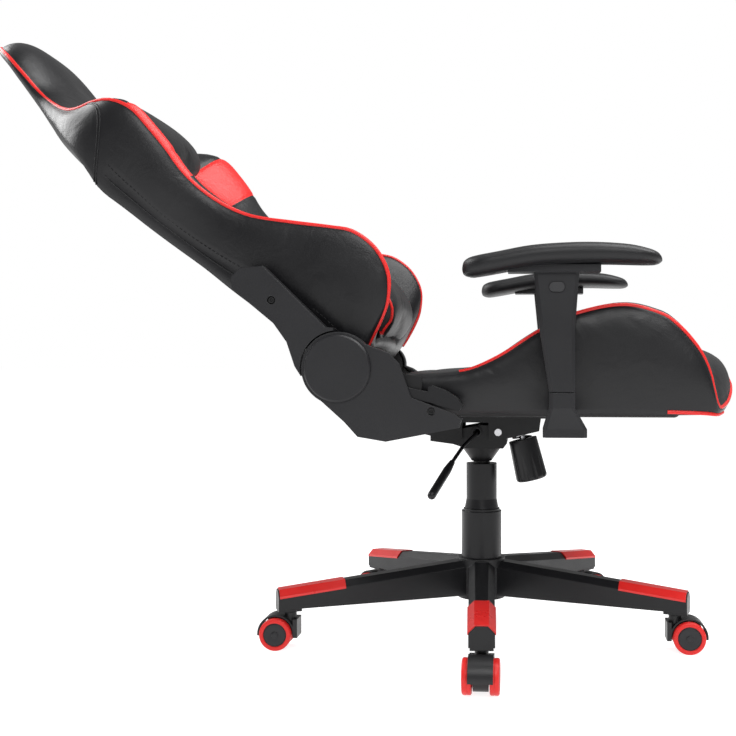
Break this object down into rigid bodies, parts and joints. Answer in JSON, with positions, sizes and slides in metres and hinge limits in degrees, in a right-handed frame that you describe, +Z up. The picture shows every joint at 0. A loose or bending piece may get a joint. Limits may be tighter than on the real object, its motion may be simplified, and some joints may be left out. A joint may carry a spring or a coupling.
{
  "type": "gaming chair",
  "caption": "Reclining racing-style swivel chair in black leather with red piping, winged backrest, bolstered seat, raised armrests and a star base on twin-wheel castors.",
  "frame": {"origin": "on the floor, on the gas lift's axis", "axes": "+X to the chair's front, +Y to the sitter's left, +Z up"},
  "size_m": [1.2357, 0.7251, 1.0279],
  "materials": {
    "base_nylon": "satin",
    "red_plastic": "satin",
    "bright_steel": "satin",
    "black_steel": "satin",
    "inner_plastic": "matte",
    "black_plastic": "satin",
    "frame_steel": "satin",
    "upholstery": "satin",
    "pillow_cover": "satin",
    "cover_plastic": "satin",
    "arm_plastic": "satin",
    "button_plastic": "satin",
    "arm_pad_rubber": "matte",
    "castor_plastic": "satin",
    "wheel_polymer": "satin"
  },
  "bodies": {
    "base": {"star_base": "base_nylon", "leg_inserts": "red_plastic", "castor_stems": "bright_steel", "gas_cylinder": "black_steel", "guide_bush": "inner_plastic", "thrust_bearing": "bright_steel", "lift_cover_lower": "black_plastic", "lift_cover_upper": "black_plastic"},
    "gas_rod": {"piston_rod": "bright_steel"},
    "column": {"pressure_tube": "black_steel", "mechanism_housing": "black_steel", "tilt_spring": "bright_steel"},
    "lock_collar": {"lever_collar": "black_plastic"},
    "lift_lever": {"lift_lever_rod": "black_steel", "lift_lever_grip": "black_plastic"},
    "seat": {"tilt_plate": "black_steel", "tilt_pin": "bright_steel", "tension_bolt": "bright_steel", "seat_frame": "frame_steel", "fixing_bolts": "bright_steel", "seat_cushion": "upholstery", "seat_bracket_right": "frame_steel", "seat_side_cover_right": "cover_plastic", "hinge_cap_right": "cover_plastic", "arm_post_right": "arm_plastic", "seat_bracket_left": "frame_steel", "seat_side_cover_left": "cover_plastic", "hinge_cap_left": "cover_plastic", "arm_post_left": "arm_plastic"},
    "tension_knob": {"tension_knob": "black_plastic"},
    "recline_lever": {"recline_lever": "black_plastic"},
    "backrest": {"back_frame": "frame_steel", "backrest_cushion": "upholstery", "head_pillow": "pillow_cover", "lumbar_cushion": "pillow_cover", "back_bracket_right": "frame_steel", "back_side_cover_right": "cover_plastic", "back_bracket_left": "frame_steel", "back_side_cover_left": "cover_plastic"},
    "arm_right": {"arm_sleeve_right": "arm_plastic", "arm_pad_right": "arm_pad_rubber"},
    "arm_button_right": {"arm_button_right": "button_plastic"},
    "arm_left": {"arm_sleeve_left": "arm_plastic", "arm_pad_left": "arm_pad_rubber"},
    "arm_button_left": {"arm_button_left": "button_plastic"},
    "castor_1": {"castor_housing_1": "castor_plastic"},
    "wheel_right_1": {"castor_wheel_right_1": "wheel_polymer"},
    "wheel_left_1": {"castor_wheel_left_1": "wheel_polymer"},
    "castor_2": {"castor_housing_2": "castor_plastic"},
    "wheel_right_2": {"castor_wheel_right_2": "wheel_polymer"},
    "wheel_left_2": {"castor_wheel_left_2": "wheel_polymer"},
    "castor_3": {"castor_housing_3": "castor_plastic"},
    "wheel_right_3": {"castor_wheel_right_3": "wheel_polymer"},
    "wheel_left_3": {"castor_wheel_left_3": "wheel_polymer"},
    "castor_4": {"castor_housing_4": "castor_plastic"},
    "wheel_right_4": {"castor_wheel_right_4": "wheel_polymer"},
    "wheel_left_4": {"castor_wheel_left_4": "wheel_polymer"},
    "castor_5": {"castor_housing_5": "castor_plastic"},
    "wheel_right_5": {"castor_wheel_right_5": "wheel_polymer"},
    "wheel_left_5": {"castor_wheel_left_5": "wheel_polymer"}
  },
  "joints": [
    {"name": "seat_swivel", "type": "hinge", "parent": "base", "child": "gas_rod", "pos_m": [0, 0, 0], "axis": [0, 0, 1], "continuous": true},
    {"name": "gas_lift", "type": "slide", "parent": "gas_rod", "child": "column", "axis": [0, 0, 1], "range_m": [0, 0.08]},
    {"name": "tilt_lock", "type": "slide", "parent": "column", "child": "lock_collar", "axis": [0, -1, 0], "range_m": [0, 0.006]},
    {"name": "lift_lever", "type": "hinge", "parent": "lock_collar", "child": "lift_lever", "pos_m": [-0.006, -0.043, 0.35], "axis": [-1, 0, 0], "range_deg": [0, 5], "stiffness_Nm_per_rad": 3, "springref_deg": -5.73},
    {"name": "seat_tilt", "type": "hinge", "parent": "column", "child": "seat", "pos_m": [0.03, 0, 0.35], "axis": [0, 1, 0], "range_deg": [-12, 0], "stiffness_Nm_per_rad": 150, "springref_deg": 22.92, "deforming": ["tilt_spring"]},
    {"name": "tension_adjust", "type": "hinge", "parent": "seat", "child": "tension_knob", "pos_m": [0.07, 0, 0.335], "axis": [0.2317, 0, -0.9728], "continuous": true},
    {"name": "recline_release", "type": "hinge", "parent": "seat", "child": "recline_lever", "pos_m": [-0.2, 0, 0.459], "axis": [0, -1, 0], "range_deg": [0, 20], "stiffness_Nm_per_rad": 2, "springref_deg": -17.19},
    {"name": "recline", "type": "hinge", "parent": "seat", "child": "backrest", "pos_m": [-0.2, 0, 0.459], "axis": [0, 1, 0], "range_deg": [-18, 50]},
    {"name": "arm_height_right", "type": "slide", "parent": "seat", "child": "arm_right", "axis": [0, 0, 1], "range_m": [0, 0.07]},
    {"name": "arm_button_right", "type": "slide", "parent": "arm_right", "child": "arm_button_right", "axis": [0, 1, 0], "range_m": [0, 0.003], "stiffness_N_per_m": 400, "springref_m": -0.003},
    {"name": "arm_height_left", "type": "slide", "parent": "seat", "child": "arm_left", "axis": [0, 0, 1], "range_m": [0, 0.07]},
    {"name": "arm_button_left", "type": "slide", "parent": "arm_left", "child": "arm_button_left", "axis": [0, -1, 0], "range_m": [0, 0.003], "stiffness_N_per_m": 400, "springref_m": -0.003},
    {"name": "castor_swivel_1", "type": "hinge", "parent": "base", "child": "castor_1", "pos_m": [0.01545, -0.32764, 0.06], "axis": [0, 0, 1], "continuous": true},
    {"name": "wheel_spin_right_1", "type": "hinge", "parent": "castor_1", "child": "wheel_right_1", "pos_m": [0.01545, -0.34864, 0.026], "axis": [1, 0, 0], "continuous": true},
    {"name": "wheel_spin_left_1", "type": "hinge", "parent": "castor_1", "child": "wheel_left_1", "pos_m": [0.01545, -0.34864, 0.026], "axis": [1, 0, 0], "continuous": true},
    {"name": "castor_swivel_2", "type": "hinge", "parent": "base", "child": "castor_2", "pos_m": [0.31638, -0.08655, 0.06], "axis": [0, 0, 1], "continuous": true},
    {"name": "wheel_spin_right_2", "type": "hinge", "parent": "castor_2", "child": "wheel_right_2", "pos_m": [0.33737, -0.08655, 0.026], "axis": [0, 1, 0], "continuous": true},
    {"name": "wheel_spin_left_2", "type": "hinge", "parent": "castor_2", "child": "wheel_left_2", "pos_m": [0.33737, -0.08655, 0.026], "axis": [0, 1, 0], "continuous": true},
    {"name": "castor_swivel_3", "type": "hinge", "parent": "base", "child": "castor_3", "pos_m": [0.18008, 0.27415, 0.06], "axis": [0, 0, 1], "continuous": true},
    {"name": "wheel_spin_right_3", "type": "hinge", "parent": "castor_3", "child": "wheel_right_3", "pos_m": [0.19617, 0.28764, 0.026], "axis": [-0.6428, 0.766, 0], "continuous": true},
    {"name": "wheel_spin_left_3", "type": "hinge", "parent": "castor_3", "child": "wheel_left_3", "pos_m": [0.19617, 0.28764, 0.026], "axis": [-0.6428, 0.766, 0], "continuous": true},
    {"name": "castor_swivel_4", "type": "hinge", "parent": "base", "child": "castor_4", "pos_m": [-0.20508, 0.25598, 0.06], "axis": [0, 0, 1], "continuous": true},
    {"name": "wheel_spin_right_4", "type": "hinge", "parent": "castor_4", "child": "wheel_right_4", "pos_m": [-0.22117, 0.26948, 0.026], "axis": [-0.6428, -0.766, 0], "continuous": true},
    {"name": "wheel_spin_left_4", "type": "hinge", "parent": "castor_4", "child": "wheel_left_4", "pos_m": [-0.22117, 0.26948, 0.026], "axis": [-0.6428, -0.766, 0], "continuous": true},
    {"name": "castor_swivel_5", "type": "hinge", "parent": "base", "child": "castor_5", "pos_m": [-0.30683, -0.11594, 0.06], "axis": [0, 0, 1], "continuous": true},
    {"name": "wheel_spin_right_5", "type": "hinge", "parent": "castor_5", "child": "wheel_right_5", "pos_m": [-0.32783, -0.11594, 0.026], "axis": [0, -1, 0], "continuous": true},
    {"name": "wheel_spin_left_5", "type": "hinge", "parent": "castor_5", "child": "wheel_left_5", "pos_m": [-0.32783, -0.11594, 0.026], "axis": [0, -1, 0], "continuous": true}
  ]
}
